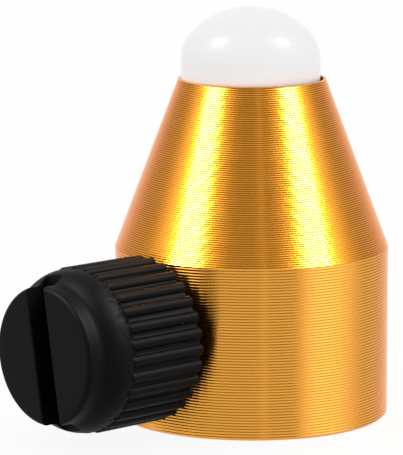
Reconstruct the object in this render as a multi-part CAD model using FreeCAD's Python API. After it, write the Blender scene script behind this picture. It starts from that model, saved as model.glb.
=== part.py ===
import FreeCAD, Part
import math
import os

from FreeCAD import Vector

# Sighting target that clamps on the spigot of a survey pole: a turned housing with a white
# dome on top and a thumb screw in its side. Millimetres, +Z up. The origin is the mouth of
# the pole socket, on its axis. The screw points along -X.

# Pole socket
spigot_radius = 6.0
socket_clearance = 0.03
socket_depth = 16.0
bush_wall = 3.47
mouth_chamfer = 0.4
stop_thickness = 1.2
vent_radius = 1.0

# Housing
body_radius = 14.0
body_height = 17.4
cone_height = 17.2
rim_wall = 0.27
base_chamfer = 0.3

# Dome, its seal and what holds them from below
dome_radius = 7.2
dome_wall = 1.3
dome_height = 7.3
dome_straight = 1.9
dome_shoulder_radius = 4.2
dome_clearance = 0.08
skirt_engagement = 5.6
flange_width = 0.82
flange_thickness = 1.0
flange_clearance = 0.1
seal_height = 0.8
seal_side_gap = 0.02
seal_bevel_share = 0.28
disc_thickness = 0.8
ring_height = 2.5
ring_wall = 2.6
ring_land = 0.82
thread_run_out = 0.4
key_slot_width = 1.6
key_slot_depth = 1.2

# Clamp screw
screw_height = 9.7
stud_radius = 2.95
thread_clearance = 0.05
insert_ledge = 0.8
insert_wall_left = 0.5
pad_overhang = 0.45
pad_clearance = 0.1
pad_setback = 0.17
pad_length = 2.1
pad_chamfer = 0.3
button_radius = 2.0
button_length = 0.8
neck_radius = 1.5
lip_thickness = 0.35
swivel_clearance = 0.05
stud_embed = 8.0
head_across_flats = 9.0
head_height = 4.0

# Knob, measured outwards from its back face
knob_gap = 0.6
grip_radius = 7.85
grip_draft = 0.05
grip_length = 8.2
shoulder_length = 3.8
shoulder_drop = 0.75
nose_radius = 6.93
nose_length = 1.7
nose_round = 0.5
rib_count = 30
rib_radius = 0.6
rib_height = 0.48
rib_overrun = 0.3
slot_width = 2.5
slot_depth = 2.8
slot_lean = 10.0

# Worked out from the sizes above
socket_radius = spigot_radius + socket_clearance
bush_radius = socket_radius + bush_wall
stop_top = socket_depth + stop_thickness
dome_bore = dome_radius + dome_clearance
rim_radius = dome_bore + rim_wall
rim_height = body_height + cone_height
dome_top = rim_height + dome_height
shoulder_base = rim_height + dome_straight
shoulder_reach = dome_radius - dome_shoulder_radius
crown_height = dome_height - dome_straight
flange_radius = dome_radius + flange_width
flange_bore = flange_radius + flange_clearance
thread_radius = flange_bore + ring_land
seal_top = rim_height - skirt_engagement
flange_top = seal_top - seal_height
flange_base = flange_top - flange_thickness
disc_base = flange_base - disc_thickness
ring_base = disc_base - ring_height
thread_top = flange_base + thread_run_out
screw_bore = stud_radius + thread_clearance
pad_radius = stud_radius + pad_overhang
pad_bore = pad_radius + pad_clearance
insert_radius = pad_bore + insert_ledge
insert_start = bush_radius + insert_wall_left
insert_end = math.sqrt(body_radius**2 - insert_radius**2)
pad_face = socket_radius + pad_setback
pad_back = pad_face + pad_length
pad_floor = pad_back - lip_thickness - button_length - 2 * swivel_clearance
shank_start = pad_back + swivel_clearance
knob_back = body_radius + knob_gap
knob_length = grip_length + shoulder_length + nose_length
head_base = stud_embed - head_height

# Cutting tools run past what they cut by this much
OVERSHOOT = 5.0

# Cones that stand for a small round corner
ROUND_FACETS = 3


def outline(start, *steps):
    """A closed outline in the XZ plane. A step is a point, or an arc's middle and end."""
    edges = []
    here = Vector(start[0], 0, start[1])
    ends_open = steps[-1][-1] != start
    for step in steps + (start,) * ends_open:
        if isinstance(step[0], tuple):
            middle = Vector(step[0][0], 0, step[0][1])
            there = Vector(step[1][0], 0, step[1][1])
            edges.append(Part.Arc(here, middle, there).toShape())
        else:
            there = Vector(step[0], 0, step[1])
            edges.append(Part.LineSegment(here, there).toShape())
        here = there
    return Part.Wire(edges)


def turned(start, *steps):
    """What a lathe makes of an outline of radius and height: a solid round the Z axis."""
    face = Part.Face(outline(start, *steps))
    return face.revolve(Vector(0, 0, 0), Vector(0, 0, 1), 360)


def corner(centre, radius, degrees):
    """The point of a round corner at an angle from outwards towards up."""
    turn = math.radians(degrees)
    return (centre[0] + radius * math.cos(turn), centre[1] + radius * math.sin(turn))


def facets(centre, radius, first, last, count):
    """Points along a round corner that is cut as a few narrow cones instead of one arc."""
    step = (last - first) / count
    return [corner(centre, radius, first + step * index) for index in range(count + 1)]


def rod(radius, low, high):
    return Part.makeCylinder(radius, high - low, Vector(0, 0, low))


def on_screw_axis(shape):
    """Lays a shape made upwards on Z along the screw, with height as distance from the pole."""
    shape.rotate(Vector(0, 0, 0), Vector(0, 1, 0), -90)
    shape.translate(Vector(0, 0, screw_height))
    return shape


def make_housing():
    """One turning: straight grip below, cone above, stepped bore, cross hole for the screw."""
    shell = turned(
        (bush_radius, 0),
        (body_radius - base_chamfer, 0),
        (body_radius, base_chamfer),
        (body_radius, body_height),
        (rim_radius, rim_height),
        (dome_bore, rim_height),
        (dome_bore, seal_top),
        (flange_bore, seal_top),
        (flange_bore, thread_top),
        (thread_radius, thread_top),
        (thread_radius, stop_top),
        (bush_radius, stop_top),
    )
    pad_hole = rod(pad_bore, 0, body_radius + OVERSHOOT)
    insert_hole = rod(insert_radius, insert_start, body_radius + OVERSHOOT)
    return shell.cut(on_screw_axis(pad_hole.fuse(insert_hole)))


def make_bush():
    """Pressed in from below. The spigot slides in it, and the pad comes through its side."""
    bush = turned(
        (socket_radius + mouth_chamfer, 0),
        (bush_radius, 0),
        (bush_radius, socket_depth),
        (socket_radius, socket_depth),
        (socket_radius, mouth_chamfer),
    )
    return bush.cut(on_screw_axis(rod(pad_bore, 0, body_radius)))


def make_stop_disc():
    """Held between the bush and the housing's ledge. The vent lets air out of the socket."""
    return rod(bush_radius, socket_depth, stop_top).cut(
        rod(vent_radius, socket_depth - OVERSHOOT, stop_top + OVERSHOOT)
    )


def make_dome():
    """Moulded white: a low crown on round shoulders, a long skirt and a flange that the lock
    ring presses up. The mould's core has a flat end, so that no wall is thinner than the skirt's."""
    inner = dome_radius - dome_wall
    shoulder = (shoulder_reach, shoulder_base)
    crown_radius = (
        (shoulder_reach**2 + crown_height**2 - dome_shoulder_radius**2)
        / 2
        / (crown_height - dome_shoulder_radius)
    )
    crown = (0, dome_top - crown_radius)
    meet = math.degrees(math.atan2(shoulder_base - crown[1], shoulder_reach))
    core_end = corner(shoulder, dome_shoulder_radius - dome_wall, 45)
    return turned(
        (inner, flange_base),
        (flange_radius, flange_base),
        (flange_radius, flange_top),
        (dome_radius, flange_top),
        (dome_radius, shoulder_base),
        (
            corner(shoulder, dome_shoulder_radius, meet / 2),
            corner(shoulder, dome_shoulder_radius, meet),
        ),
        (corner(crown, crown_radius, (meet + 90) / 2), (0, dome_top)),
        (0, core_end[1]),
        core_end,
        (inner, shoulder_base),
    )


def make_seal():
    """An O-ring, squeezed between the flange and the housing's shoulder."""
    low, high = flange_top, seal_top
    near = dome_radius + seal_side_gap
    far = flange_bore - seal_side_gap
    bevel = seal_bevel_share * (far - near)
    return turned(
        (near + bevel, low),
        (far - bevel, low),
        (far, (low + high) / 2),
        (far - bevel, high),
        (near + bevel, high),
        (near, (low + high) / 2),
    )


def make_backing_disc():
    """A thin white disc that closes the dome from below."""
    return rod(flange_radius, disc_base, flange_base)


def make_lock_ring():
    """Screws up under the disc. Two slots take a pin spanner."""
    ring = rod(thread_radius, ring_base, disc_base).cut(
        rod(thread_radius - ring_wall, ring_base - OVERSHOOT, disc_base + OVERSHOOT)
    )
    slots = Part.makeBox(
        2 * thread_radius + OVERSHOOT,
        key_slot_width,
        key_slot_depth + OVERSHOOT,
        Vector(-thread_radius - OVERSHOOT / 2, -key_slot_width / 2, ring_base - OVERSHOOT),
    )
    return ring.cut(slots)


def make_thread_insert():
    """A brass bush bonded in the housing's wall, with its face just under the surface."""
    return on_screw_axis(
        turned(
            (screw_bore, insert_start),
            (insert_radius, insert_start),
            (insert_radius, insert_end),
            (screw_bore, insert_end),
        )
    )


def make_pad():
    """A plastic cup snapped over the button on the stud, so that it presses without turning."""
    mouth = neck_radius + swivel_clearance
    chamber = button_radius + swivel_clearance
    return on_screw_axis(
        turned(
            (0, pad_face),
            (pad_radius - pad_chamfer, pad_face),
            (pad_radius, pad_face + pad_chamfer),
            (pad_radius, pad_back),
            (mouth, pad_back),
            (mouth, pad_back - lip_thickness),
            (chamber, pad_back - lip_thickness),
            (chamber, pad_floor),
            (0, pad_floor),
        )
    )


def make_stud():
    """M6 stud: button and neck at the tip, plain shank, and a hexagon head inside the knob."""
    button_tip = pad_floor + swivel_clearance
    stud = turned(
        (0, button_tip),
        (button_radius, button_tip),
        (button_radius, button_tip + button_length),
        (neck_radius, button_tip + button_length),
        (neck_radius, shank_start),
        (stud_radius, shank_start),
        (stud_radius, knob_back + head_base),
        (0, knob_back + head_base),
    )
    return on_screw_axis(stud.fuse(stud_head()))


def stud_head():
    """The hexagon that the plastic of the knob is moulded round."""
    radius = head_across_flats / math.sqrt(3)
    points = []
    for side in range(7):
        turn = math.radians(60 * side)
        x, y = radius * math.cos(turn), radius * math.sin(turn)
        points.append(Vector(x, y, knob_back + head_base))
    return Part.Face(Part.makePolygon(points)).extrude(Vector(0, 0, head_height))


def knob_core():
    """The knob without ribs or slot: drafted grip, arched shoulder and a nose with a round edge."""
    back = knob_back
    grip_end = grip_radius - grip_draft
    arch = (shoulder_length**2 + shoulder_drop**2) / (2 * shoulder_drop)
    arch_end = math.degrees(math.asin(shoulder_length / arch))
    shoulder_centre = (grip_end - arch, back + grip_length)
    face = back + knob_length
    nose_centre = (nose_radius - nose_round, face - nose_round)
    return turned(
        (0, back),
        (grip_radius, back),
        *facets(shoulder_centre, arch, 0, arch_end, ROUND_FACETS),
        (nose_radius, back + grip_length + shoulder_length),
        *facets(nose_centre, nose_round, 0, 90, ROUND_FACETS),
        (0, face),
    )


def knob_ribs():
    """Round bars along the grip. A cone cuts their front ends slanting, which rounds them off
    where they run out on the shoulder."""
    crest = grip_radius + rib_height
    bar_axis = crest - rib_radius
    inside = grip_radius - rib_radius
    tip = knob_back + grip_length + rib_overrun
    envelope = turned(
        (inside, knob_back),
        (crest, knob_back),
        (crest, tip - (crest - inside)),
        (inside, tip),
    )
    bars = []
    for index in range(rib_count):
        turn = math.radians((index + 0.5) * 360 / rib_count)
        place = Vector(bar_axis * math.cos(turn), bar_axis * math.sin(turn), knob_back)
        bars.append(Part.makeCylinder(rib_radius, grip_length + rib_overrun, place))
    return Part.makeCompound(bars).common(envelope)


def make_knob():
    """Moulded black plastic round the stud, with a slot for a coin across the nose."""
    knob = knob_core().multiFuse(knob_ribs().Solids)
    slot = Part.makeBox(
        4 * nose_radius,
        slot_width,
        slot_depth + OVERSHOOT,
        Vector(-2 * nose_radius, -slot_width / 2, knob_back + knob_length - slot_depth),
    )
    slot.rotate(Vector(0, 0, 0), Vector(0, 0, 1), slot_lean)
    shank = rod(stud_radius, knob_back - OVERSHOOT, knob_back + head_base)
    knob = knob.cut(slot).cut(shank.fuse(stud_head()))
    return on_screw_axis(knob)


PIECES = {
    "housing": make_housing,
    "pole_bush": make_bush,
    "stop_disc": make_stop_disc,
    "dome": make_dome,
    "dome_seal": make_seal,
    "backing_disc": make_backing_disc,
    "lock_ring": make_lock_ring,
    "thread_insert": make_thread_insert,
    "clamp_pad": make_pad,
    "clamp_stud": make_stud,
    "clamp_knob": make_knob,
}

os.makedirs("parts", exist_ok=True)
for name, make in PIECES.items():
    piece = make()
    piece = piece.removeSplitter()
    print(
        f"{name}: {len(piece.Solids)} solid, {len(piece.Faces)} faces,"
        f" {piece.Volume:.1f} mm3, closed {piece.isValid()}"
    )
    piece.exportStep(f"parts/{name}.step")
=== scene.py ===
# %% [markdown]
# # A sighting target for the top of a survey pole
# The real object is a small turned and gold anodised aluminium body with a white dome on top.
# It drops over the spigot of a pole, and a black ribbed thumb screw in its side clamps it.
# The solids come from the CAD model and stay where they are. This notebook dresses them: each
# piece that shows gets what the solids leave out: the turning grooves, the fine shape of the
# ribs, the stud's thread and the finishes.

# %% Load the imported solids
import math

import bmesh
import bpy
from mathutils import Matrix, Vector


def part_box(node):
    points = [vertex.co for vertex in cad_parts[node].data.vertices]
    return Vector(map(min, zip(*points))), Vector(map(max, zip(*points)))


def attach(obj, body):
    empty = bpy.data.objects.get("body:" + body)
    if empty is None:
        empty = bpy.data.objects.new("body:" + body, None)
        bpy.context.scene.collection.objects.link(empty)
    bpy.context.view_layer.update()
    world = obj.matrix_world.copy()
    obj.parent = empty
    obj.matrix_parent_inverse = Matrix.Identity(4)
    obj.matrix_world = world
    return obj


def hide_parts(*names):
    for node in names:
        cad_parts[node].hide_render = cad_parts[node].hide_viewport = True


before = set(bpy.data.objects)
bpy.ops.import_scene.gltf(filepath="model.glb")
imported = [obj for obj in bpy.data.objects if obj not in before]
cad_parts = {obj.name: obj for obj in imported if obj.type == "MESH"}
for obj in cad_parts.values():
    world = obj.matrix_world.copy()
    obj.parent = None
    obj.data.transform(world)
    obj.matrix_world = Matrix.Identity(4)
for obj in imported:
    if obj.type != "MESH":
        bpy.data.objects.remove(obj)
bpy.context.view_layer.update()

print("solids:", ", ".join(sorted(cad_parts)))

# %% [markdown]
# ## Sizes
# Sizes that a solid's box gives are read from it, so that a piece always fits what it stands for.
# The rest repeat the CAD model's own values, in metres.

# %% Read the sizes
MM = 0.001
body_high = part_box("housing")[1]
knob_low, knob_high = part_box("clamp_knob")
pad_low, pad_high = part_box("clamp_pad")
body_radius = body_high.x
rim_height = body_high.z
body_height = 17.4 * MM
rim_radius = 7.55 * MM
screw_height = (pad_low.z + pad_high.z) / 2
knob_back = -knob_high.x
knob_length = knob_high.x - knob_low.x
print("body radius", round(body_radius / MM, 3), "knob length", round(knob_length / MM, 3))

# %% [markdown]
# ## Writing formulas as nodes
# A groove or a rib follows a formula. Blender evaluates formulas with Math nodes, and wiring
# dozens of them by hand is hard to read. This small class lets ordinary sums and products of
# values make the Math nodes, in geometry trees and in shader trees alike.

# %% A value that turns arithmetic into nodes
class Field:
    def __init__(self, tree, socket):
        self.tree = tree
        self.socket = socket

    def math(self, operation, *others):
        node = self.tree.nodes.new("ShaderNodeMath")
        node.operation = operation
        for place, value in zip(node.inputs, (self, *others)):
            plug(self.tree, value, place)
        return Field(self.tree, node.outputs[0])

    def __add__(self, other):
        return self.math("ADD", other)

    def __sub__(self, other):
        return self.math("SUBTRACT", other)

    def __mul__(self, other):
        return self.math("MULTIPLY", other)

    def __truediv__(self, other):
        return self.math("DIVIDE", other)

    def from_number(self, number):
        """The number minus this field."""
        return (self * -1) + number

    def between(self, low, high):
        return self.math("MAXIMUM", low).math("MINIMUM", high)


def plug(tree, value, place):
    """Puts a number or a colour on a socket, or links a socket or field to it."""
    if isinstance(value, Field):
        value = value.socket
    if isinstance(value, bpy.types.NodeSocket):
        tree.links.new(value, place)
    elif value is not None:
        place.default_value = value


def add(tree, kind, *values, named=None, **settings):
    """Adds a node with its settings. Values go to its inputs in order, or by socket name."""
    node = tree.nodes.new(kind)
    for key, value in settings.items():
        setattr(node, key, value)
    for place, value in zip(node.inputs, values):
        plug(tree, value, place)
    for key, value in (named or {}).items():
        plug(tree, value, node.inputs[key])
    return node


def parts_of(tree, vector):
    """The x, y and z of a vector socket as fields."""
    node = add(tree, "ShaderNodeSeparateXYZ", vector)
    return [Field(tree, out) for out in node.outputs]


def joined(tree, x, y, z):
    """A vector socket from three fields or numbers."""
    return add(tree, "ShaderNodeCombineXYZ", x, y, z).outputs[0]


def round_axis(tree, radius, turn, height):
    """The place at a radius, an angle and a height, as a vector socket."""
    return joined(tree, radius * turn.math("COSINE"), radius * turn.math("SINE"), height)


print("formula nodes ready")

# %% [markdown]
# ## Geometry trees and plain meshes
# A tree has named inputs for its sizes. The modifier's inputs are set by the socket's identifier
# before the object is evaluated for the first time. The result is then copied to a plain mesh,
# because only plain meshes are kept with the model.

# %% Helpers for geometry trees
def geometry_tree(name, sizes, takes_mesh=False):
    """A geometry tree with named inputs, and its group input and output nodes."""
    tree = bpy.data.node_groups.new(name, "GeometryNodeTree")
    if takes_mesh:
        tree.interface.new_socket("Outline", in_out="INPUT", socket_type="NodeSocketGeometry")
    for size, kind in sizes.items():
        tree.interface.new_socket(size, in_out="INPUT", socket_type="NodeSocket" + kind)
    tree.interface.new_socket("Mesh", in_out="OUTPUT", socket_type="NodeSocketGeometry")
    return tree, tree.nodes.new("NodeGroupInput"), tree.nodes.new("NodeGroupOutput")


def fields_of(tree, given, sizes):
    """The tree's number inputs as fields, by name."""
    return {
        label: Field(tree, given.outputs[label]) for label in sizes if label != "Material"
    }


def flat_grid(tree, columns, rows):
    """A grid one unit wide, and the place across and up it as fields from -0.5 to 0.5."""
    grid = add(tree, "GeometryNodeMeshGrid", 1.0, 1.0, columns, rows)
    across, up = parts_of(tree, add(tree, "GeometryNodeInputPosition").outputs[0])[:2]
    return grid.outputs[0], across, up


def moved(tree, mesh, place):
    named = {"Geometry": mesh, "Position": place}
    return add(tree, "GeometryNodeSetPosition", named=named).outputs[0]


def welded(tree, mesh, distance):
    named = {"Geometry": mesh, "Distance": distance}
    return add(tree, "GeometryNodeMergeByDistance", named=named).outputs[0]


def finish_tree(tree, mesh, given, result):
    """Every tree ends the same way: smooth faces, instances made real, and its material."""
    shaded = add(tree, "GeometryNodeSetShadeSmooth", mesh)
    real = add(tree, "GeometryNodeRealizeInstances", shaded.outputs[0])
    painted = add(
        tree,
        "GeometryNodeSetMaterial",
        named={"Geometry": real.outputs[0], "Material": given.outputs["Material"]},
    )
    tree.links.new(painted.outputs[0], result.inputs[0])


def grow(name, tree, values, start=None):
    """Runs a tree on a new object and returns the result as a plain mesh object."""
    piece = bpy.data.objects.new(name, start or bpy.data.meshes.new(name + "_start"))
    bpy.context.scene.collection.objects.link(piece)
    modifier = piece.modifiers.new(tree.name, "NODES")
    modifier.node_group = tree
    for item in tree.interface.items_tree:
        if item.in_out == "INPUT" and item.name in values:
            modifier[item.identifier] = values[item.name]
    return settle(piece)


def settle(piece):
    """Replaces an object's mesh by what its modifiers make of it, and removes them."""
    bpy.context.view_layer.update()
    graph = bpy.context.evaluated_depsgraph_get()
    mesh = bpy.data.meshes.new_from_object(piece.evaluated_get(graph))
    piece.modifiers.clear()
    piece.data = mesh
    mesh.name = piece.name
    return piece


def report(piece):
    piece.data.calc_loop_triangles()
    print(f"{piece.name}: {len(piece.data.loop_triangles)} triangles")
    return piece


# %% [markdown]
# ## Lathe work
# Most parts of this object are turned, so most meshes are an outline swept round an axis. The
# outline is a closed loop of radius and height, walked with the material on its left.

# %% Helpers for turned pieces
def turned(name, outline, segments=96, material=None):
    """A closed mesh from an outline of (radius, height) points in metres, round the Z axis."""
    work = bmesh.new()
    rings = []
    for radius, height in outline:
        if radius < 1e-7:
            rings.append([work.verts.new((0, 0, height))] * segments)
            continue
        ring = []
        for step in range(segments):
            turn = 2 * math.pi * step / segments
            place = (radius * math.cos(turn), radius * math.sin(turn), height)
            ring.append(work.verts.new(place))
        rings.append(ring)
    for low, high in zip(rings, rings[1:] + rings[:1]):
        for step in range(segments):
            after = (step + 1) % segments
            corners = [low[step], low[after], high[after], high[step]]
            corners = list(dict.fromkeys(corners))
            if len(corners) > 2:
                work.faces.new(corners)
    bmesh.ops.recalc_face_normals(work, faces=work.faces)
    mesh = bpy.data.meshes.new(name)
    work.to_mesh(mesh)
    work.free()
    piece = bpy.data.objects.new(name, mesh)
    bpy.context.scene.collection.objects.link(piece)
    if material:
        mesh.materials.append(material)
    return piece


def smooth(piece, degrees):
    """Smooth faces, with a hard edge where two faces meet at more than this angle."""
    piece.data.shade_smooth()
    piece.data.set_sharp_from_angle(angle=math.radians(degrees))
    return piece


def arc(centre, radius, first, last, count):
    """Points of a round corner, from one angle to another, outwards to upwards."""
    points = []
    for step in range(count + 1):
        turn = math.radians(first + (last - first) * step / count)
        points.append((centre[0] + radius * math.cos(turn), centre[1] + radius * math.sin(turn)))
    return points


ALONG_SCREW = Matrix(((0, 0, -1, 0), (0, 1, 0, 0), (1, 0, 0, screw_height), (0, 0, 0, 1)))


def on_screw_axis(piece):
    """Lays a piece that was made upwards on Z along the screw, which points along -X."""
    piece.data.transform(ALONG_SCREW)
    return piece


def cut(piece, cutter):
    """Takes the cutter's shape out of the piece, and removes the cutter."""
    modifier = piece.modifiers.new("cut", "BOOLEAN")
    modifier.operation = "DIFFERENCE"
    modifier.solver = "EXACT"
    modifier.object = cutter
    settle(piece)
    bpy.data.objects.remove(cutter)
    finish = [material for material in piece.data.materials if material]
    piece.data.materials.clear()
    for material in finish[:1]:
        piece.data.materials.append(material)
    piece.data.polygons.foreach_set("material_index", [0] * len(piece.data.polygons))
    return piece


print("lathe ready")

# %% [markdown]
# ## Finishes: shared effects
# Two effects belong to more than one finish, so each is a node group that is built once. Fine
# lines round a turned part come from noise stretched round its axis. Dust is a few bright specks.

# %% Shared shader groups
def shader_group(name, inputs, outputs):
    tree = bpy.data.node_groups.new(name, "ShaderNodeTree")
    for label, kind, value in inputs:
        item = tree.interface.new_socket(label, in_out="INPUT", socket_type="NodeSocket" + kind)
        item.default_value = value
    for label, kind in outputs:
        tree.interface.new_socket(label, in_out="OUTPUT", socket_type="NodeSocket" + kind)
    return tree, tree.nodes.new("NodeGroupInput"), tree.nodes.new("NodeGroupOutput")


def make_lathe_lines():
    """Streaks that run round the Z axis: the noise is read by radius and height alone."""
    tree, given, result = shader_group(
        "lathe_lines",
        [("Lines per mm", "Float", 12.0), ("Contrast", "Float", 1.0)],
        [("Value", "Float")],
    )
    spot = add(tree, "ShaderNodeTexCoord").outputs["Object"]
    x, y, z = parts_of(tree, spot)
    radius = (x * x + y * y).math("SQRT")
    scale = Field(tree, given.outputs["Lines per mm"]) * 1000
    stretched = joined(tree, radius * scale, z * scale, y * 60)
    noise = add(tree, "ShaderNodeTexNoise", named={"Vector": stretched, "Scale": 1.0})
    noise.inputs["Detail"].default_value = 3.0
    value = (Field(tree, noise.outputs[0]) - 0.5) * given.outputs["Contrast"]
    tree.links.new(value.socket, result.inputs[0])
    return tree


def make_dust():
    """Small bright specks, few and far between."""
    tree, given, result = shader_group(
        "dust",
        [("Specks per mm", "Float", 2.0), ("Size", "Float", 0.12), ("Share", "Float", 0.05)],
        [("Mask", "Float")],
    )
    spot = add(tree, "ShaderNodeTexCoord").outputs["Object"]
    scale = Field(tree, given.outputs["Specks per mm"]) * 1000
    cells = add(tree, "ShaderNodeTexVoronoi", named={"Vector": spot, "Scale": scale})
    pick = add(tree, "ShaderNodeSeparateColor", cells.outputs["Color"])
    chosen = Field(tree, pick.outputs[0]).math("LESS_THAN", given.outputs["Share"])
    near = Field(tree, cells.outputs["Distance"]).math("LESS_THAN", given.outputs["Size"])
    tree.links.new((chosen * near).socket, result.inputs[0])
    return tree


lathe_lines = make_lathe_lines()
dust = make_dust()
print("groups:", lathe_lines.name, dust.name)

# %% [markdown]
# Every material is a Principled shader with its constant values on its own sockets. Only what
# varies over the surface, a colour, a roughness or a height, comes from nodes.

# %% Helpers for materials
def finish_named(name, **constants):
    """A material with a Principled shader, whose constant values sit on its own sockets."""
    material = bpy.data.materials.new(name)
    material.use_nodes = True
    shader = material.node_tree.nodes["Principled BSDF"]
    for label, value in constants.items():
        shader.inputs[label.replace("_", " ")].default_value = value
    return material, material.node_tree, shader


def effect(tree, group, output, **values):
    """Places a shared group in a material's tree with its own values."""
    node = add(tree, "ShaderNodeGroup", node_tree=group)
    for label, value in values.items():
        node.inputs[label.replace("_", " ")].default_value = value
    return Field(tree, node.outputs[output])


def blend_colours(tree, share, first, second):
    """The first colour at 0 and the second at 1."""
    node = add(tree, "ShaderNodeMix", data_type="RGBA")
    plug(tree, share, node.inputs[0])
    plug(tree, first, node.inputs[6])
    plug(tree, second, node.inputs[7])
    return node.outputs[2]


def bumped(tree, shader, height, distance):
    """Feeds a height to the shader's normal. The distance is in metres."""
    named = {"Height": height, "Distance": distance, "Strength": 1.0}
    node = add(tree, "ShaderNodeBump", named=named)
    tree.links.new(node.outputs["Normal"], shader.inputs["Normal"])


def noise_of(tree, per_mm, detail=2.0):
    """Plain noise over the piece, from 0 to 1."""
    spot = add(tree, "ShaderNodeTexCoord").outputs["Object"]
    node = add(tree, "ShaderNodeTexNoise", named={"Vector": spot, "Scale": per_mm * 1000})
    node.inputs["Detail"].default_value = detail
    return Field(tree, node.outputs[0])


print("material helpers ready")

# %% [markdown]
# ## Gold anodising
# Anodising is a clear, dyed oxide over aluminium. Light goes through the dye to the metal, which
# gives the deep gold, and the oxide's own surface adds a clear white glint. A metallic base with
# a clear coat does the same. The cone's colour is set a little deeper than the straight grip's,
# to match the tones of the photograph. Tiny sparkles stand for spots where the tool tore the
# metal.

# %% Gold
def make_gold():
    material, tree, shader = finish_named(
        "gold_anodising",
        Metallic=1.0,
        Specular_Tint=(0.95, 0.52, 0.06, 1),
        Coat_Weight=0.6,
        Coat_Roughness=0.05,
        Coat_IOR=1.65,
    )
    lines = effect(tree, lathe_lines, "Value", Lines_per_mm=9.0, Contrast=0.35)
    sparkle = effect(tree, dust, "Mask", Specks_per_mm=2.0, Size=0.12, Share=0.01)
    shade = (lines + 0.5).between(0, 1)
    up = parts_of(tree, add(tree, "ShaderNodeTexCoord").outputs["Object"])[2]
    # The straight grip gets a paler, less saturated gold than the cone. This is painted sheen: it
    # stands for the whiter light that the grip's deeper grooves reflect.
    on_cone = (up / body_height).math("GREATER_THAN", 1.0)
    deep = blend_colours(tree, shade, (0.81, 0.268, 0.001, 1), (0.90, 0.345, 0.004, 1))
    pale = blend_colours(tree, shade, (0.78, 0.305, 0.015, 1), (0.86, 0.38, 0.022, 1))
    gold = blend_colours(tree, on_cone, pale, deep)
    colour = blend_colours(tree, sparkle * 0.6, gold, (1.0, 0.62, 0.22, 1))
    tree.links.new(colour, shader.inputs["Base Color"])
    rough = noise_of(tree, 0.5) * 0.04 + 0.17
    tree.links.new(rough.socket, shader.inputs["Roughness"])
    return material


gold_anodising = make_gold()
print("made", gold_anodising.name)

# %% [markdown]
# ## Black moulded plastic
# The knob is satin black with a faint grain. Moulding leaves it a little uneven, and a few
# specks of dust lie on it.

# %% Black plastic
def make_black():
    material, tree, shader = finish_named("black_satin_plastic", IOR=1.5, Specular_IOR_Level=0.07)
    mottle = noise_of(tree, 0.35)
    specks = effect(tree, dust, "Mask", Specks_per_mm=1.5, Size=0.1, Share=0.025)
    black = blend_colours(tree, mottle, (0.001, 0.001, 0.001, 1), (0.003, 0.0022, 0.0019, 1))
    colour = blend_colours(tree, specks * 0.8, black, (0.35, 0.34, 0.33, 1))
    tree.links.new(colour, shader.inputs["Base Color"])
    rough = mottle * 0.12 + 0.46
    tree.links.new(rough.socket, shader.inputs["Roughness"])
    bumped(tree, shader, noise_of(tree, 5.0, 3.0), 0.012 * MM)
    return material


black_satin_plastic = make_black()
print("made", black_satin_plastic.name)

# %% [markdown]
# ## Opal plastic, acetal, rubber and the plain metals
# The dome is opal plastic: light goes a little way in and comes out again, so its shading is
# soft. The other finishes are seen from below, in the gap behind the knob, or not at all.

# %% Opal and the rest
def make_opal():
    material, tree, shader = finish_named(
        "opal_dome_plastic",
        IOR=1.5,
        Specular_IOR_Level=0.07,
        Subsurface_Weight=0.6,
        Subsurface_Radius=(1, 1, 1),
        Subsurface_Scale=0.001,
    )
    cloud = noise_of(tree, 0.12)
    white = blend_colours(tree, cloud, (0.93, 0.93, 0.93, 1), (0.96, 0.96, 0.955, 1))
    tree.links.new(white, shader.inputs["Base Color"])
    rough = noise_of(tree, 0.4) * 0.05 + 0.26
    tree.links.new(rough.socket, shader.inputs["Roughness"])
    return material


def make_turned_metal(name, dark, light, lines_per_mm, roughness):
    material, tree, shader = finish_named(name, Metallic=1.0)
    lines = effect(tree, lathe_lines, "Value", Lines_per_mm=lines_per_mm, Contrast=1.6)
    shade = (lines + 0.5).between(0, 1)
    tree.links.new(blend_colours(tree, shade, dark, light), shader.inputs["Base Color"])
    tree.links.new((shade * 0.15 + roughness).socket, shader.inputs["Roughness"])
    bumped(tree, shader, lines, 0.01 * MM)
    return material


def make_plain(name, dark, light, roughness, grain_per_mm, grain):
    material, tree, shader = finish_named(name, IOR=1.5)
    mottle = noise_of(tree, 0.5)
    tree.links.new(blend_colours(tree, mottle, dark, light), shader.inputs["Base Color"])
    tree.links.new((mottle * 0.1 + roughness).socket, shader.inputs["Roughness"])
    bumped(tree, shader, noise_of(tree, grain_per_mm, 3.0), grain)
    return material


opal_dome_plastic = make_opal()
steel = make_turned_metal(
    "bright_steel", (0.42, 0.42, 0.43, 1), (0.62, 0.61, 0.60, 1), 6.0, 0.24
)
aluminium = make_turned_metal(
    "plain_turned_aluminium", (0.60, 0.60, 0.61, 1), (0.80, 0.80, 0.80, 1), 5.0, 0.28
)
brass = make_turned_metal(
    "turned_brass", (0.62, 0.40, 0.14, 1), (0.80, 0.56, 0.24, 1), 7.0, 0.22
)
rubber = make_plain(
    "seal_rubber_black", (0.012, 0.012, 0.012, 1), (0.02, 0.02, 0.02, 1), 0.6, 8.0, 0.006 * MM
)
acetal = make_plain(
    "white_acetal", (0.78, 0.78, 0.76, 1), (0.86, 0.86, 0.84, 1), 0.38, 4.0, 0.004 * MM
)
print("made", opal_dome_plastic.name, steel.name, aluminium.name, brass.name)

# %% [markdown]
# ## The housing
# A round-nosed tool cut this body and left a groove at each turn: coarse on the straight grip,
# finer and shallower on the cone. The grooves are real shape here, because they give the
# reflections their lines. Each run of grooves is a flat grid that a formula wraps round the axis:
# one way across the grid is the angle, the other climbs the wall and dips once in each groove.

# %% A run of turning grooves
GROOVE_SIZES = {
    "Low Radius": "Float",
    "Low Height": "Float",
    "High Radius": "Float",
    "High Height": "Float",
    "Grooves": "Int",
    "Rows per Groove": "Int",
    "Depth": "Float",
    "Unevenness": "Float",
    "Segments": "Int",
    "Seed": "Int",
}


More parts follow.
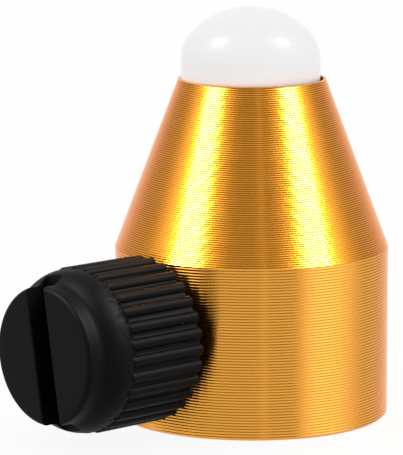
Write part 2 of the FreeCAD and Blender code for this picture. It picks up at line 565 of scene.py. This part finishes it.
def make_groove_run():
    tree, given, result = geometry_tree("groove_run", GROOVE_SIZES)
    take = fields_of(tree, given, GROOVE_SIZES)
    rows = take["Grooves"] * take["Rows per Groove"]
    grid, across, up = flat_grid(tree, take["Segments"] + 1, rows + 1)
    turn = (across + 0.5) * (2 * math.pi)
    climb = up + 0.5
    groove = (climb * rows + 0.01).math("FLOOR") / take["Rows per Groove"]
    number = groove.math("FLOOR")
    phase = groove - number
    dip = phase * phase.from_number(1) * 4
    luck = add(
        tree,
        "FunctionNodeRandomValue",
        named={"ID": number.math("ROUND"), "Seed": take["Seed"]},
    )
    depth = take["Depth"] * ((Field(tree, luck.outputs[1]) - 0.5) * take["Unevenness"] + 1)
    rise = take["High Height"] - take["Low Height"]
    swell = take["High Radius"] - take["Low Radius"]
    slant = (rise * rise + swell * swell).math("SQRT")
    radius = take["Low Radius"] + swell * climb - dip * depth * rise / slant
    height = take["Low Height"] + rise * climb + dip * depth * swell / slant
    wrapped = moved(tree, grid, round_axis(tree, radius, turn, height))
    tree.links.new(wrapped, result.inputs[0])
    return tree


groove_run = make_groove_run()
print("groove run takes", len(GROOVE_SIZES), "sizes")

# %% [markdown]
# The housing's skin is two such runs, joined and welded where they meet and along the seam.

# %% The skin tree
SKIN_SIZES = {
    "Body Radius": "Float",
    "Chamfer": "Float",
    "Body Height": "Float",
    "Rim Radius": "Float",
    "Rim Height": "Float",
    "Grip Grooves": "Int",
    "Grip Depth": "Float",
    "Cone Grooves": "Int",
    "Cone Depth": "Float",
    "Segments": "Int",
    "Material": "Material",
}


def make_skin_tree():
    tree, given, result = geometry_tree("housing_skin", SKIN_SIZES)
    take = given.outputs
    shared = {"Segments": take["Segments"], "Rows per Groove": 6}
    grip = add(tree, "GeometryNodeGroup", node_tree=groove_run)
    cone = add(tree, "GeometryNodeGroup", node_tree=groove_run)
    runs = {
        grip: {
            "Low Radius": take["Body Radius"],
            "Low Height": take["Chamfer"],
            "High Radius": take["Body Radius"],
            "High Height": take["Body Height"],
            "Grooves": take["Grip Grooves"],
            "Depth": take["Grip Depth"],
            "Unevenness": 0.1,
            "Seed": 3,
        },
        cone: {
            "Low Radius": take["Body Radius"],
            "Low Height": take["Body Height"],
            "High Radius": take["Rim Radius"],
            "High Height": take["Rim Height"],
            "Grooves": take["Cone Grooves"],
            "Depth": take["Cone Depth"],
            "Unevenness": 0.12,
            "Seed": 8,
        },
    }
    both = add(tree, "GeometryNodeJoinGeometry")
    for run, values in runs.items():
        for label, value in {**values, **shared}.items():
            plug(tree, value, run.inputs[label])
        tree.links.new(run.outputs[0], both.inputs[0])
    finish_tree(tree, welded(tree, both.outputs[0], 0.001 * MM), given, result)
    return tree


GRIP_PITCH = 0.284 * MM
GRIP_DEPTH = 0.036 * MM
CONE_PITCH = 0.221 * MM
CONE_DEPTH = 0.026 * MM
CHAMFER = 0.3 * MM
SEGMENTS = 96
cone_length = math.hypot(body_radius - rim_radius, rim_height - body_height)
housing = grow(
    "housing_turned",
    make_skin_tree(),
    {
        "Body Radius": body_radius,
        "Chamfer": CHAMFER,
        "Body Height": body_height,
        "Rim Radius": rim_radius,
        "Rim Height": rim_height,
        "Grip Grooves": round((body_height - CHAMFER) / GRIP_PITCH),
        "Grip Depth": GRIP_DEPTH,
        "Cone Grooves": round(cone_length / CONE_PITCH),
        "Cone Depth": CONE_DEPTH,
        "Segments": SEGMENTS,
        "Material": gold_anodising,
    },
)
report(housing)

# %% [markdown]
# The inside is plain stepped bores, so it is lathe work. It uses as many segments as the skin,
# and is welded to it. Two holes then go through the wall for the screw and its brass insert.

# %% Close the housing and drill it
def weld(piece, lining):
    """Adds the lining's faces to the piece and merges the points that they share."""
    work = bmesh.new()
    work.from_mesh(piece.data)
    work.from_mesh(lining.data)
    bmesh.ops.remove_doubles(work, verts=work.verts, dist=0.001 * MM)
    bmesh.ops.recalc_face_normals(work, faces=work.faces)
    work.to_mesh(piece.data)
    work.free()
    bpy.data.objects.remove(lining)
    return piece


def remove_wall(piece, low, high):
    """Removes the outer wall between two heights, which the grooved skin stands for."""
    work = bmesh.new()
    work.from_mesh(piece.data)
    outer = []
    for face in work.faces:
        heights = [v.co.z for v in face.verts]
        if min(heights) < low + 1e-6 and max(heights) > high - 1e-6:
            if face.calc_center_median().to_2d().length > body_radius * 0.7:
                outer.append(face)
    bmesh.ops.delete(work, geom=outer, context="FACES")
    work.to_mesh(piece.data)
    work.free()
    return piece


# Radius and height in millimetres, from the rim down to the base.
BORE = [
    (7.28, 34.6),
    (7.28, 29.0),
    (8.12, 29.0),
    (8.12, 27.6),
    (8.94, 27.6),
    (8.94, 17.2),
    (9.5, 17.2),
    (9.5, 0.0),
]
# Radius of each hole, and how far from the axis it starts, in millimetres.
INSERT_HOLE = (4.3, 10)
PAD_HOLE = (3.5, 0)
HOLE_END = 20 * MM


def drill(piece, name, radius, start):
    """Cuts a round hole out through the wall, along the screw's axis."""
    radius, start = radius * MM, start * MM
    outline = [(0, start), (radius, start), (radius, HOLE_END), (0, HOLE_END)]
    return cut(piece, on_screw_axis(turned(name, outline, 64)))


lining = turned(
    "housing_lining",
    [(body_radius - CHAMFER, 0), (body_radius, CHAMFER), (rim_radius, rim_height)]
    + [(radius * MM, height * MM) for radius, height in BORE],
    SEGMENTS,
)
weld(housing, remove_wall(lining, CHAMFER, rim_height))
drill(housing, "insert_hole", *INSERT_HOLE)
drill(housing, "pad_hole", *PAD_HOLE)
smooth(housing, 22)
report(housing)

# %% [markdown]
# ## The knob
# The knob is moulded: a drafted grip with thirty round ribs, an arched shoulder, and a nose with
# a slot for a coin. The shoulder is as high as the ribs, so the valleys end there in pockets. The
# tree takes the outline of the plain knob as a line of points, sweeps it round, and lifts the
# wall wherever a rib stands higher than it. Its columns follow each rib's own curve, so that few
# of them give round ribs.

# %% The ribbed knob tree
RIB_SIZES = {
    "Ribs": "Int",
    "Columns per Rib": "Int",
    "Crest Radius": "Float",
    "Rib Radius": "Float",
    "Grip Radius": "Float",
    "Ball Height": "Float",
    "Flash": "Float",
    "Seed": "Int",
    "Material": "Material",
}
RIB_SHARE = 0.4


def make_rib_tree():
    tree, given, result = geometry_tree("ribbed_knob", RIB_SIZES, takes_mesh=True)
    take = fields_of(tree, given, RIB_SIZES)
    outline = given.outputs["Outline"]
    count = Field(tree, add(tree, "GeometryNodeAttributeDomainSize", outline).outputs[0])
    columns = take["Ribs"] * take["Columns per Rib"]
    grid, across, up = flat_grid(tree, columns + 1, count)
    row = ((up + 0.5) * (count - 1)).math("ROUND")
    position = add(tree, "GeometryNodeInputPosition").outputs[0]
    sample = add(tree, "GeometryNodeSampleIndex", data_type="FLOAT_VECTOR")
    tree.links.new(outline, sample.inputs["Geometry"])
    vector_in = next(s for s in sample.inputs if s.name == "Value" and s.type == "VECTOR")
    tree.links.new(position, vector_in)
    tree.links.new(row.socket, sample.inputs["Index"])
    vector_out = next(s for s in sample.outputs if s.type == "VECTOR")
    core, height = parts_of(tree, vector_out)[::2]

    column = ((across + 0.5) * columns).math("ROUND")
    pitch_place = column / take["Columns per Rib"]
    number = (pitch_place + 0.001).math("FLOOR")
    aside = pitch_place - number - 0.5
    bar_axis = take["Crest Radius"] - take["Rib Radius"]
    reach = (take["Rib Radius"] * 0.98 / take["Grip Radius"]).math("ARCSINE")
    half_pitch = take["Ribs"].math("POWER", -1.0) * math.pi
    on_rib = (aside / RIB_SHARE).between(-1, 1)
    past_rib = (aside.math("ABSOLUTE") - RIB_SHARE).math("MAXIMUM", 0.0) / (0.5 - RIB_SHARE)
    lean = (on_rib * (math.pi / 2)).math("SINE") * reach
    lean = lean + past_rib * aside.math("SIGN") * (half_pitch - reach)
    turn = (number + 0.5) * half_pitch * 2 + lean

    past_ball = (height - take["Ball Height"]).math("MAXIMUM", 0.0)
    side = bar_axis * lean.math("SINE")
    left = take["Rib Radius"] * take["Rib Radius"] - past_ball * past_ball - side * side
    bar = bar_axis * lean.math("COSINE") + left.math("MAXIMUM", 0.0).math("SQRT")
    bar = bar * left.math("GREATER_THAN", 0.0)
    grip_only = core.math("GREATER_THAN", bar_axis - take["Rib Radius"] * 0.75)
    radius = core.math("MAXIMUM", bar * grip_only)

    spot = round_axis(tree, radius, turn, height)
    noise = add(
        tree,
        "ShaderNodeTexNoise",
        noise_dimensions="4D",
        named={"Vector": spot, "Scale": 1300.0, "W": take["Seed"]},
    )
    near_ball = (height - take["Ball Height"] - 0.5 * MM).math("ABSOLUTE") / (1.1 * MM)
    ragged = near_ball.from_number(1).math("MAXIMUM", 0.0) * take["Flash"]
    rough = (Field(tree, noise.outputs[0]) - 0.5) * ragged * grip_only
    radius = radius + rough.between(-0.2 * MM, 0.0)
    wrapped = moved(tree, grid, round_axis(tree, radius, turn, height))
    finish_tree(tree, welded(tree, wrapped, 0.0005 * MM), given, result)
    return tree


print("rib tree takes", len(RIB_SIZES), "sizes")

# %% [markdown]
# The outline starts in the hole for the stud, goes out along the back, along the grip's valleys,
# up their end to the shoulder, round a hollow corner to the nose and in to the middle of its
# face. Rows crowd together where the surface turns.

# %% The knob's outline and the knob
POCKET = {"radius": 5.2, "start": 4.0, "end": 8.0, "hole": 2.95}
GRIP = {"radius": 7.85, "draft": 0.05, "length": 8.2, "crest": 8.33, "rib": 0.6}
VALLEY_END = {"start": 8.4, "length": 0.9}
SHOULDER = {"start": 9.3, "radius": 8.15, "arch": 3.5, "end": 11.75}
NOSE = {"radius": 6.93, "round": 0.5, "hollow": 12.5}
BALL_HEIGHT = 8.75


def knob_outline():
    """Radius and distance from the knob's back, in millimetres."""
    points = [(0, POCKET["end"]), (POCKET["radius"], POCKET["end"])]
    points += [(POCKET["radius"], POCKET["start"]), (POCKET["hole"], POCKET["start"])]
    points += [(POCKET["hole"], 0.0), (7.0, 0.0), (7.7, 0.0), (GRIP["radius"], 0.06)]
    for s in (2.0, 4.0, 6.0, 7.5, GRIP["length"]):
        points.append((GRIP["radius"] - GRIP["draft"] * s / GRIP["length"], s))
    low = GRIP["radius"] - GRIP["draft"]
    for step in range(13):
        share = step / 12
        climb = share * share * (3 - 2 * share)
        s = VALLEY_END["start"] + VALLEY_END["length"] * share
        points.append((low + (SHOULDER["radius"] - low) * climb, s))
    arch = SHOULDER["arch"]
    for step in range(1, 15):
        s = SHOULDER["start"] + (SHOULDER["end"] - SHOULDER["start"]) * step / 14
        fall = arch - math.sqrt(arch**2 - (s - SHOULDER["start"]) ** 2)
        points.append((SHOULDER["radius"] - fall, s))
    end_radius, end = points[-1]
    for step in range(1, 8):
        share = step / 7
        s = end + (NOSE["hollow"] - end) * share
        points.append((NOSE["radius"] + (end_radius - NOSE["radius"]) * (1 - share) ** 2, s))
    face = knob_length / MM
    centre = (NOSE["radius"] - NOSE["round"], face - NOSE["round"])
    points += arc(centre, NOSE["round"], 0, 90, 7)
    points += [(5.0, face), (0, face)]
    return points


outline_mesh = bpy.data.meshes.new("knob_outline")
outline_mesh.from_pydata([(r * MM, 0, s * MM) for r, s in knob_outline()], [], [])
knob = grow(
    "knob_ribbed",
    make_rib_tree(),
    {
        "Ribs": 30,
        "Columns per Rib": 18,
        "Crest Radius": GRIP["crest"] * MM,
        "Rib Radius": GRIP["rib"] * MM,
        "Grip Radius": GRIP["radius"] * MM,
        "Ball Height": BALL_HEIGHT * MM,
        "Flash": 0.7 * MM,
        "Seed": 4,
        "Material": black_satin_plastic,
    },
    outline_mesh,
)
report(knob)

# %% [markdown]
# The coin slot is cut last. Its cutter flares a little at the mouth, which rounds the slot's
# edges as a mould does.

# %% Cut the coin slot
SLOT = {"width": 2.5, "depth": 2.8, "lean": 10.0, "flare": 0.12}


def slot_cutter():
    face = knob_length
    half = SLOT["width"] / 2 * MM
    flare = SLOT["flare"] * MM
    floor_z = face - SLOT["depth"] * MM
    section = [
        (-half + flare, floor_z),
        (half - flare, floor_z),
        (half, floor_z + flare),
        (half, face - flare),
        (half + flare, face + 0.01 * MM),
        (half + flare, face + 2 * MM),
        (-half - flare, face + 2 * MM),
        (-half - flare, face + 0.01 * MM),
        (-half, face - flare),
        (-half, floor_z + flare),
    ]
    work = bmesh.new()
    ends = []
    for x in (-12 * MM, 12 * MM):
        ends.append([work.verts.new((x, y, z)) for y, z in section])
    count = len(section)
    for step in range(count):
        after = (step + 1) % count
        work.faces.new((ends[0][step], ends[0][after], ends[1][after], ends[1][step]))
    work.faces.new(list(reversed(ends[0])))
    work.faces.new(ends[1])
    bmesh.ops.recalc_face_normals(work, faces=work.faces)
    work.transform(Matrix.Rotation(math.radians(SLOT["lean"]), 4, "Z"))
    mesh = bpy.data.meshes.new("slot_cutter")
    work.to_mesh(mesh)
    work.free()
    cutter = bpy.data.objects.new("slot_cutter", mesh)
    bpy.context.scene.collection.objects.link(cutter)
    return cutter


def face_outwards(piece):
    work = bmesh.new()
    work.from_mesh(piece.data)
    bmesh.ops.recalc_face_normals(work, faces=work.faces)
    work.to_mesh(piece.data)
    work.free()
    return piece


face_outwards(knob)
cut(knob, slot_cutter())
knob.data.transform(Matrix.Translation((0, 0, knob_back)))
on_screw_axis(knob)
smooth(knob, 38)
report(knob)

# %% [markdown]
# ## The dome
# The dome is a low crown on round shoulders, over a long skirt that goes down into the housing,
# where a flange holds it. It is hollow, as a moulding is, so its outline has an inside too. It is
# a loose fit in its bore and sits to the left, which leaves a sliver of the rim to see.

# %% Turn the dome
SKIRT = {"base": 27.2, "flange top": 28.2, "flange": 7.93, "radius": 7.1, "inner": 5.9}
SHOULDER_ARC = {"centre": (2.9, 36.5), "radius": 4.2}
CROWN_ARC = {"centre": (0, 33.596), "radius": 8.304}
ARCS_MEET = 45.04
DOME_TOP = 41.9
CAVITY = {"top": 38.55, "flat": 5.05, "shoulder": 36.5}
OFF_CENTRE = Vector((-0.11, 0.1, 0)) * MM
dome_outline = [
    (SKIRT["inner"], SKIRT["base"]),
    (SKIRT["flange"], SKIRT["base"]),
    (SKIRT["flange"], SKIRT["flange top"]),
    (SKIRT["radius"], SKIRT["flange top"]),
]
dome_outline += arc(SHOULDER_ARC["centre"], SHOULDER_ARC["radius"], 0, ARCS_MEET, 20)
dome_outline += arc(CROWN_ARC["centre"], CROWN_ARC["radius"], ARCS_MEET, 90, 20)[1:-1]
dome_outline += [(0, DOME_TOP), (0, CAVITY["top"]), (CAVITY["flat"], CAVITY["top"])]
dome_outline += [(SKIRT["inner"], CAVITY["shoulder"])]
dome = turned(
    "dome_opal", [(r * MM, z * MM) for r, z in dome_outline], 128, opal_dome_plastic
)
dome.data.transform(Matrix.Translation(OFF_CENTRE))
smooth(dome, 30)
report(dome)

# %% [markdown]
# ## The clamp stud
# The stud has a rolled M6 thread, seen in the gap behind the knob when the screw is let out. The
# thread is a formula as well: the wall dips once for each turn, and the dip climbs one pitch as
# the angle goes round, which is what makes it a screw and not a row of rings.

# %% The thread tree
THREAD_SIZES = {
    "Major Radius": "Float",
    "Depth": "Float",
    "Pitch": "Float",
    "Start": "Float",
    "End": "Float",
    "Rows per Turn": "Int",
    "Segments": "Int",
    "Material": "Material",
}


def make_thread_tree():
    tree, given, result = geometry_tree("screw_thread", THREAD_SIZES)
    take = fields_of(tree, given, THREAD_SIZES)
    length = take["End"] - take["Start"]
    rows = (length / take["Pitch"] * take["Rows per Turn"]).math("ROUND")
    grid, across, up = flat_grid(tree, take["Segments"] + 1, rows + 1)
    turn = (across + 0.5) * (2 * math.pi)
    height = take["Start"] + (up + 0.5) * length
    winding = height / take["Pitch"] - across - 0.5
    phase = winding - winding.math("FLOOR")
    ridge = ((phase - 0.5).math("ABSOLUTE") * 2.5 - 0.12).between(0, 1)
    from_start = (height - take["Start"]) / take["Pitch"]
    from_end = (take["End"] - height) / take["Pitch"]
    fade = from_start.math("MINIMUM", from_end).between(0, 1)
    lead_in = from_start.from_number(0.6).math("MAXIMUM", 0.0) * take["Pitch"] * 0.6
    radius = take["Major Radius"] - ridge.from_number(1) * take["Depth"] * fade - lead_in
    wrapped = moved(tree, grid, round_axis(tree, radius, turn, height))
    finish_tree(tree, welded(tree, wrapped, 0.0005 * MM), given, result)
    return tree


STUD_RADIUS = 2.95 * MM
STUD_START = 8.35 * MM
HEAD_START = 18.6 * MM
HEAD_END = 22.6 * MM
BUTTON = [(1.5, 8.35), (1.5, 7.9), (2.0, 7.9), (2.0, 7.1)]
stud = grow(
    "stud_threaded",
    make_thread_tree(),
    {
        "Major Radius": STUD_RADIUS,
        "Depth": 0.55 * MM,
        "Pitch": 1.0 * MM,
        "Start": STUD_START,
        "End": HEAD_START,
        "Rows per Turn": 12,
        "Segments": 48,
        "Material": steel,
    },
)
report(stud)

# %% [markdown]
# The ends are closed by filling the thread's two open rims: the tip with its neck and button,
# which the pad snaps over, and the hexagon head inside the knob.

# %% Add the button and the head
HEAD_FLATS = 9.0 * MM


def hexagon(turn):
    """Distance from the axis to the flat sides of the head, which has a corner at angle 0."""
    return HEAD_FLATS / 2 / math.cos(math.fmod(turn + 2 * math.pi, math.pi / 3) - math.pi / 6)


def extend_rim(work, height, steps):
    """Grows the open rim at a height through rings of (radius, height), then closes it."""
    rim = [e for e in work.edges if e.is_boundary]
    rim = [e for e in rim if abs(e.verts[0].co.z - height) < 0.01 * MM]
    for radius, level in steps:
        grown = bmesh.ops.extrude_edge_only(work, edges=rim)["geom"]
        points = [g for g in grown if isinstance(g, bmesh.types.BMVert)]
        rim = [g for g in grown if isinstance(g, bmesh.types.BMEdge)]
        for point in points:
            turn = math.atan2(point.co.y, point.co.x)
            reach = hexagon(turn) if radius is None else radius
            point.co = Vector((reach * math.cos(turn), reach * math.sin(turn), level))
    bmesh.ops.contextual_create(work, geom=rim)


work = bmesh.new()
work.from_mesh(stud.data)
extend_rim(work, STUD_START, [(radius * MM, height * MM) for radius, height in BUTTON])
extend_rim(work, HEAD_START, [(None, HEAD_START), (None, HEAD_END)])
bmesh.ops.recalc_face_normals(work, faces=work.faces)
work.to_mesh(stud.data)
work.free()
on_screw_axis(stud)
smooth(stud, 30)
report(stud)

# %% [markdown]
# ## Put the pieces on their bodies
# Each new piece rides on the body of the solid that it stands for, and that solid is hidden.
# The solids that stay get their materials here.

# %% Ride, replace and paint
REPLACEMENTS = [
    (housing, "body", "housing", "gold_anodised_aluminium"),
    (dome, "body", "dome", "opal_plastic"),
    (knob, "thumb_screw", "clamp_knob", "black_plastic"),
    (stud, "thumb_screw", "clamp_stud", "stud_steel"),
]
for piece, body, node, slot in REPLACEMENTS:
    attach(piece, body)
    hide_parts(node)

KEPT = {
    "pole_bush": steel,
    "stop_disc": steel,
    "dome_seal": rubber,
    "backing_disc": acetal,
    "lock_ring": aluminium,
    "thread_insert": brass,
    "clamp_pad": acetal,
}
for name, material in KEPT.items():
    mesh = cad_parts[name].data
    mesh.materials.clear()
    mesh.materials.append(material)
print("replaced", len(REPLACEMENTS), "kept", len(KEPT))

# %% [markdown]
# ## The table, the backdrop and the light
# The picture is a studio shot on white. The floor is pale and plain. It glows by itself for the
# camera and in reflections, which makes it nearly white and leaves a faint, soft shadow.

# %% Floor
def make_floor():
    material = bpy.data.materials.new("pale_floor")
    material.use_nodes = True
    tree = material.node_tree
    shader = tree.nodes["Principled BSDF"]
    shader.inputs["Base Color"].default_value = (0.92, 0.92, 0.92, 1)
    shader.inputs["Roughness"].default_value = 0.9
    glow = add(tree, "ShaderNodeEmission", (1, 1, 1, 1), 1.0)
    path = add(tree, "ShaderNodeLightPath")
    seen = Field(tree, path.outputs["Is Camera Ray"])
    seen = seen.math("MAXIMUM", path.outputs["Is Glossy Ray"])
    seen = seen.math("MAXIMUM", path.outputs["Is Transmission Ray"])
    mix = add(tree, "ShaderNodeMixShader", seen * 0.91)
    tree.links.new(shader.outputs[0], mix.inputs[1])
    tree.links.new(glow.outputs[0], mix.inputs[2])
    tree.links.new(mix.outputs[0], tree.nodes["Material Output"].inputs["Surface"])
    mesh = bpy.data.meshes.new("floor")
    half = 6.0
    corners = [(-half, -half, 0), (half, -half, 0), (half, half, 0), (-half, half, 0)]
    mesh.from_pydata(corners, [], [(0, 1, 2, 3)])
    mesh.materials.append(material)
    floor = bpy.data.objects.new("floor", mesh)
    bpy.context.scene.collection.objects.link(floor)
    floor.location.z = -0.02 * MM


make_floor()
print("floor laid")

# %% [markdown]
# The camera stands about where the photograph was taken from: a little above the object and to
# one side of the screw, with a long lens.

# %% Camera
CAMERA_AZIMUTH = math.radians(-44.07)
CAMERA_ELEVATION = math.radians(10.07)
CAMERA_DISTANCE = 0.3558
side_on = Vector((math.cos(CAMERA_AZIMUTH), math.sin(CAMERA_AZIMUTH), 0))
towards = Vector(
    (
        math.sin(CAMERA_AZIMUTH) * math.cos(CAMERA_ELEVATION),
        -math.cos(CAMERA_AZIMUTH) * math.cos(CAMERA_ELEVATION),
        math.sin(CAMERA_ELEVATION),
    )
)
upright = towards.cross(side_on)
shoulder = Vector((0, 0, body_height))
lens = bpy.data.cameras.new("studio_camera")
lens.sensor_width = 36
lens.lens = 274.37
lens.clip_start = 0.01
lens.clip_end = 50
camera = bpy.data.objects.new("studio_camera", lens)
bpy.context.scene.collection.objects.link(camera)
camera.location = shoulder + towards * CAMERA_DISTANCE
aim = shoulder - side_on * 5.14 * MM + upright * 1.734 * MM
camera.rotation_mode = "QUATERNION"
camera.rotation_quaternion = (aim - camera.location).to_track_quat("-Z", "Y")
bpy.context.scene.camera = camera
print("camera at", [round(v, 3) for v in camera.location])

# %% [markdown]
# Two soft boxes hang high to the left and right of the camera, leaning outwards, and a turned
# metal part shows each as one bright band. They are lamps that only reflections see, so that the
# dome keeps its soft shading. A box painted in the sky would do the same with more noise.

# %% Two soft boxes
BOX = {"distance": 0.6, "width": 0.2, "height": 0.26, "power": 6.0}
BOX_ANGLES = {"azimuth": 78, "elevation": 50, "lean": 24}


def hang_box(name, side):
    """Hangs a lamp to one side of the camera: -1 for the left, 1 for the right."""
    front = Vector((towards.x, towards.y, 0)).normalized()
    azimuth, elevation, lean = (math.radians(value) for value in BOX_ANGLES.values())
    ahead = front * math.cos(azimuth) + side_on * side * math.sin(azimuth)
    outwards = side_on * side * math.cos(azimuth) - front * math.sin(azimuth)
    out = ahead * math.cos(elevation) + Vector((0, 0, math.sin(elevation)))
    rising = Vector((0, 0, math.cos(elevation))) - ahead * math.sin(elevation)
    tall = rising * math.cos(lean) + outwards * math.sin(lean)
    lamp = bpy.data.lights.new(name, "AREA")
    lamp.shape = "RECTANGLE"
    lamp.size, lamp.size_y = BOX["width"], BOX["height"]
    lamp.energy = BOX["power"]
    lamp.color = (0.92, 0.97, 1.0)
    box = bpy.data.objects.new(name, lamp)
    bpy.context.scene.collection.objects.link(box)
    box.matrix_world = Matrix((tall.cross(out), tall, out)).transposed().to_4x4()
    box.location = shoulder + out * BOX["distance"]
    box.visible_camera = False
    box.visible_diffuse = False
    box.visible_transmission = False


hang_box("soft_box_left", -1)
hang_box("soft_box_right", 1)
print("two soft boxes hung")

# %% [markdown]
# The rest of the room is grey in front, brightest at the sides and paler again behind, with one
# slim lighter strip just right of the camera. It is painted in the sky as a function of
# direction, fixed to the room. Only reflections see this room. The other light is a plain soft
# white. No real room does that: it keeps the dome evenly lit, while the metal still has something
# dark to show.

# %% Sky
ROOM = {"front": 0.25, "low": 0.14, "sides": 1.8, "behind": 0.6, "gap": 0.4}


def smooth_step(value, low, high):
    """0 below the low value, 1 above the high one, and a soft ramp between them."""
    ramp = ((value - low) / (high - low)).between(0, 1)
    return ramp * ramp * (ramp * -2 + 3)


def make_sky():
    world = bpy.data.worlds.new("studio")
    world.use_nodes = True
    bpy.context.scene.world = world
    tree = world.node_tree
    shader = tree.nodes["Background"]
    ray = add(tree, "ShaderNodeTexCoord").outputs["Generated"]
    x, y, z = parts_of(tree, ray)
    front = Vector((towards.x, towards.y)).normalized()
    depth = x * front.x + y * front.y
    sideways = x * side_on.x + y * side_on.y
    azimuth = sideways.math("ARCTAN2", depth) * (180 / math.pi)
    elevation = z.between(-1, 1).math("ARCSINE") * (180 / math.pi)
    off_axis = azimuth.math("ABSOLUTE")
    wall = smooth_step(off_axis, 36.0, 58.0) * smooth_step(off_axis, 70.0, 112.0).from_number(1)
    behind = smooth_step(off_axis, 128.0, 160.0)
    low = smooth_step(elevation, 5.0, 50.0).from_number(1)
    room = low * ROOM["low"] + wall * ROOM["sides"] + behind * ROOM["behind"] + ROOM["front"]
    gap = smooth_step((azimuth - 11.0).math("ABSOLUTE"), 1.0, 4.0).from_number(1)
    shiny = room + gap * ROOM["gap"]
    soft = smooth_step(elevation, -20.0, 80.0) * 0.14 + 0.86
    path = add(tree, "ShaderNodeLightPath")
    gloss = Field(tree, path.outputs["Is Glossy Ray"])
    seen = Field(tree, path.outputs["Is Camera Ray"])
    seen = seen.math("MAXIMUM", path.outputs["Is Transmission Ray"])
    light = shiny * gloss + soft * gloss.from_number(1)
    strength = light * seen.from_number(1) + seen
    tree.links.new(strength.socket, shader.inputs["Strength"])
    shader.inputs["Color"].default_value = (1, 1, 1, 1)
    world.cycles.sampling_method = "NONE"
    return world


make_sky()
scene = bpy.context.scene
scene.view_settings.view_transform = "Standard"
print("sky painted")
